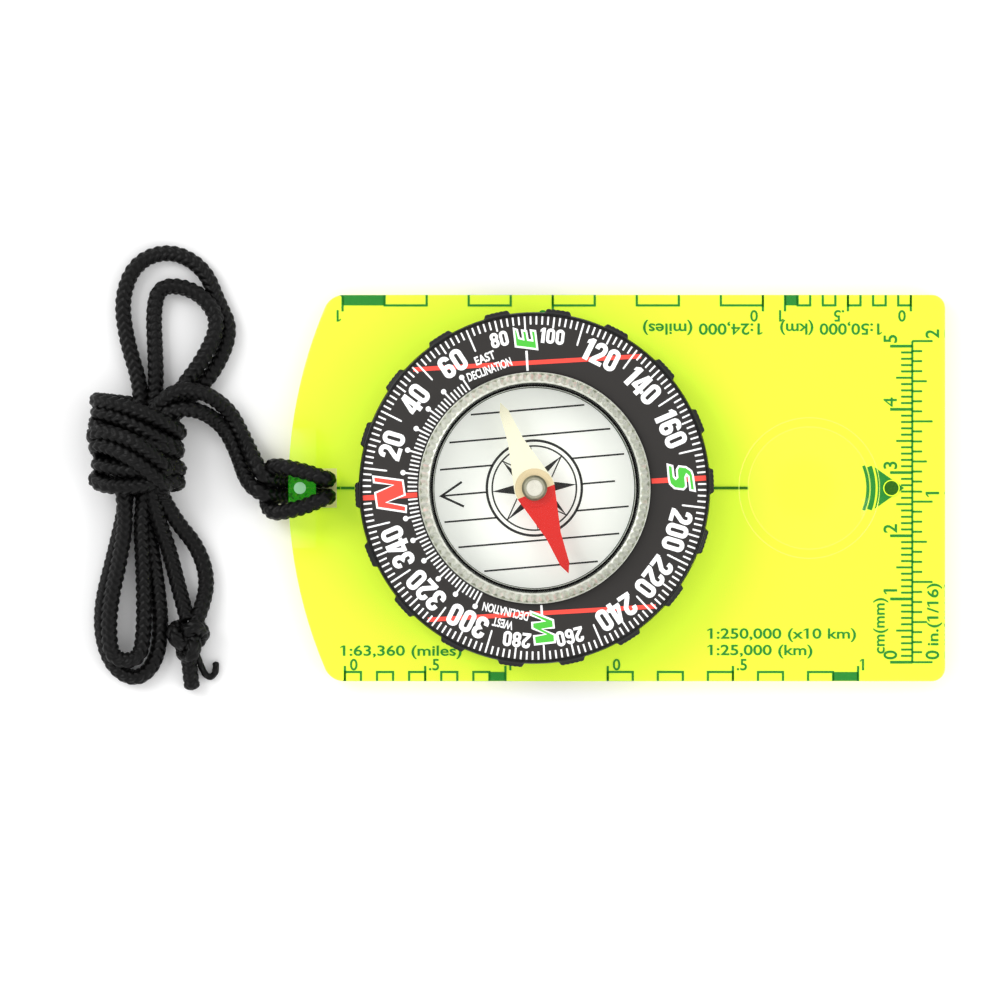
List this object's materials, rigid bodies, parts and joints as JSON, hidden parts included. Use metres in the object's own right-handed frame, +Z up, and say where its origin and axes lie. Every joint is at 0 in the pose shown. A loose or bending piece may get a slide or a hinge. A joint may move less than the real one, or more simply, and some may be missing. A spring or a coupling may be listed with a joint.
{
  "type": "baseplate compass",
  "caption": "Clear rectangular map compass with a turning degree ring, a liquid capsule with a pivoted needle, a magnifier, and a cord lanyard tied in a hank.",
  "frame": {"origin": "on the underside, at the middle of the baseplate's outline", "axes": "+X along the plate towards its front edge, the direction of travel; +Y across the plate; +Z up from the underside, along the needle's axis"},
  "size_m": [0.1354, 0.0706, 0.0106],
  "materials": {
    "plate_acrylic": "clear moulded acrylic, fluorescent yellow",
    "washer_polymer": "smooth",
    "ring_plastic": "moulded, satin",
    "dial_plastic": "printed, satin",
    "capsule_clear": "clear moulded acrylic",
    "seal_rubber": "smooth",
    "pin_steel": "ground",
    "needle_paint": "painted, red and cream",
    "cap_brass": "turned, dull",
    "jewel_glass": "polished",
    "lanyard_nylon": "braided"
  },
  "bodies": {
    "plate": {"baseplate": "plate_acrylic", "drag_washer": "washer_polymer", "lanyard_hank": "lanyard_nylon", "lanyard_end_knot": "lanyard_nylon", "lanyard_hitch_upper": "lanyard_nylon", "lanyard_hitch_lower": "lanyard_nylon", "lanyard_lead_upper": "lanyard_nylon", "lanyard_lead_lower": "lanyard_nylon", "lanyard_top_loop_outer": "lanyard_nylon", "lanyard_top_loop_inner": "lanyard_nylon", "lanyard_bottom_loop_outer": "lanyard_nylon", "lanyard_bottom_loop_inner": "lanyard_nylon", "lanyard_tail_upper": "lanyard_nylon", "lanyard_tail_lower": "lanyard_nylon", "lanyard_stub_straight": "lanyard_nylon", "lanyard_stub_curl": "lanyard_nylon"},
    "ring": {"azimuth_ring": "ring_plastic", "azimuth_dial": "dial_plastic", "retaining_ring": "ring_plastic"},
    "capsule": {"capsule_top": "capsule_clear", "capsule_base": "capsule_clear", "capsule_gasket": "seal_rubber", "capsule_drag_ring": "seal_rubber", "pivot_pin": "pin_steel"},
    "needle": {"needle_blade": "needle_paint", "needle_cap": "cap_brass", "pivot_jewel": "jewel_glass"}
  },
  "joints": [
    {"name": "ring_turn", "type": "hinge", "parent": "plate", "child": "ring", "pos_m": [-0.013, 0, 0.006], "axis": [0, 0, 1], "continuous": true},
    {"name": "capsule_turn", "type": "hinge", "parent": "ring", "child": "capsule", "pos_m": [-0.013, 0, 0.006], "axis": [0, 0, 1], "continuous": true},
    {"name": "needle_swing", "type": "hinge", "parent": "capsule", "child": "needle", "pos_m": [-0.013, 0, 0.0064], "axis": [0, 0, 1], "continuous": true}
  ]
}
